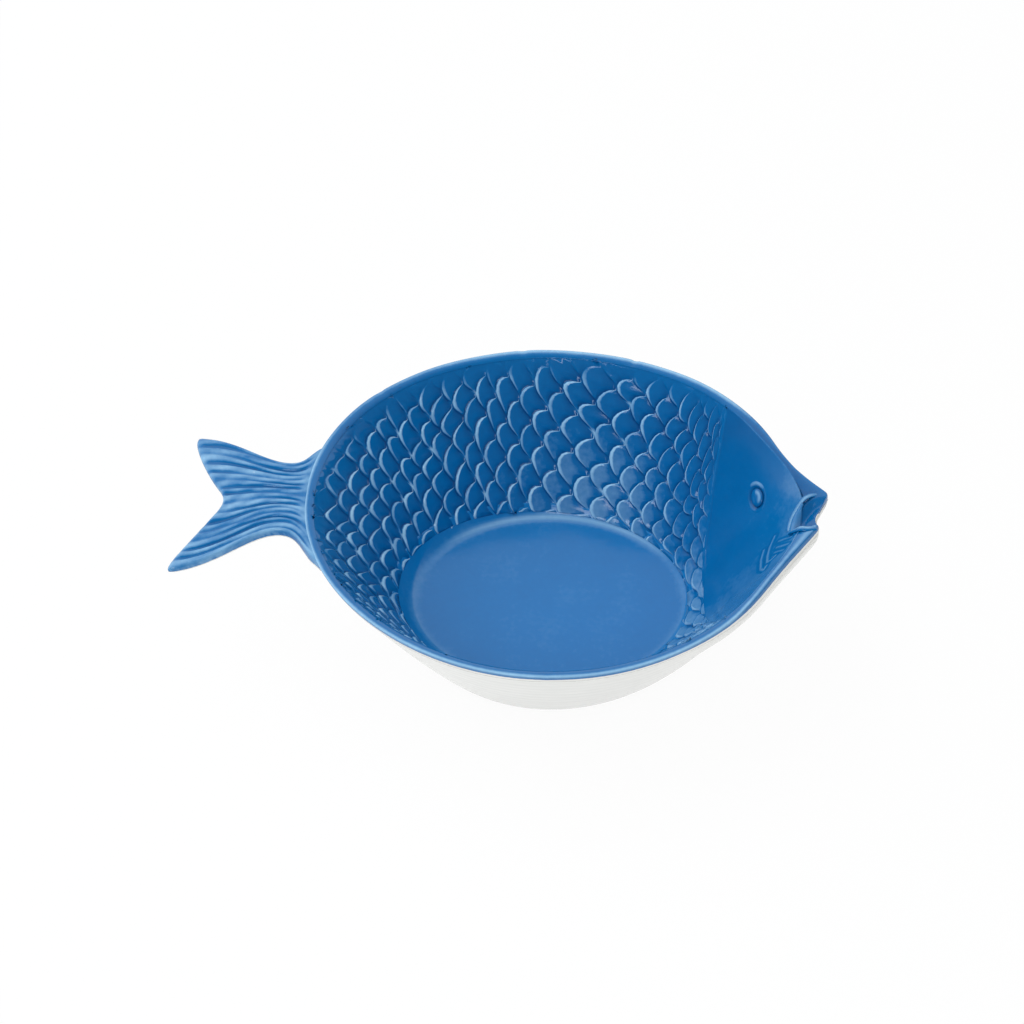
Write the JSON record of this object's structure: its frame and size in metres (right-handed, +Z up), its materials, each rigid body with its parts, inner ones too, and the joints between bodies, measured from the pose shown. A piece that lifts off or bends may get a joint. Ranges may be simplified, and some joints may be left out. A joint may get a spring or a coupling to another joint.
{
  "type": "fish-shaped serving bowl",
  "caption": "Oval glazed stoneware bowl shaped as a fish: blue inside carved with overlapping scales, smooth head with eye and mouth, flat forked tail, white outside.",
  "frame": {"origin": "centre of the overall bounding box in plan, at the underside of the foot ring", "axes": "+X along the fish toward its mouth, +Y toward its back fin side, +Z up"},
  "size_m": [0.3814, 0.255, 0.096],
  "materials": {
    "white_glaze": "gloss white glaze",
    "bare_clay": "unglazed, matt",
    "floor_blue": "gloss blue glaze",
    "scale_blue": "gloss blue glaze, paler where it thins on raised edges",
    "head_blue": "gloss blue glaze",
    "gill_blue": "gloss blue glaze, thin on the ridge",
    "rim_blue": "gloss blue glaze, thin on the edge",
    "lip_blue": "gloss blue glaze",
    "eye_blue": "gloss blue glaze",
    "tail_blue": "gloss blue glaze, paler on the ribs"
  },
  "bodies": {
    "root": {"outer_shell": "white_glaze", "foot_ring": "bare_clay", "well_floor": "floor_blue", "scale_relief": "scale_blue", "head_panel": "head_blue", "gill_ridge": "gill_blue", "rim_bead": "rim_blue", "upper_lip": "lip_blue", "lower_lip": "lip_blue", "eye_ring": "eye_blue", "eye_pellet": "eye_blue", "tail_fin": "tail_blue"}
  },
  "joints": []
}
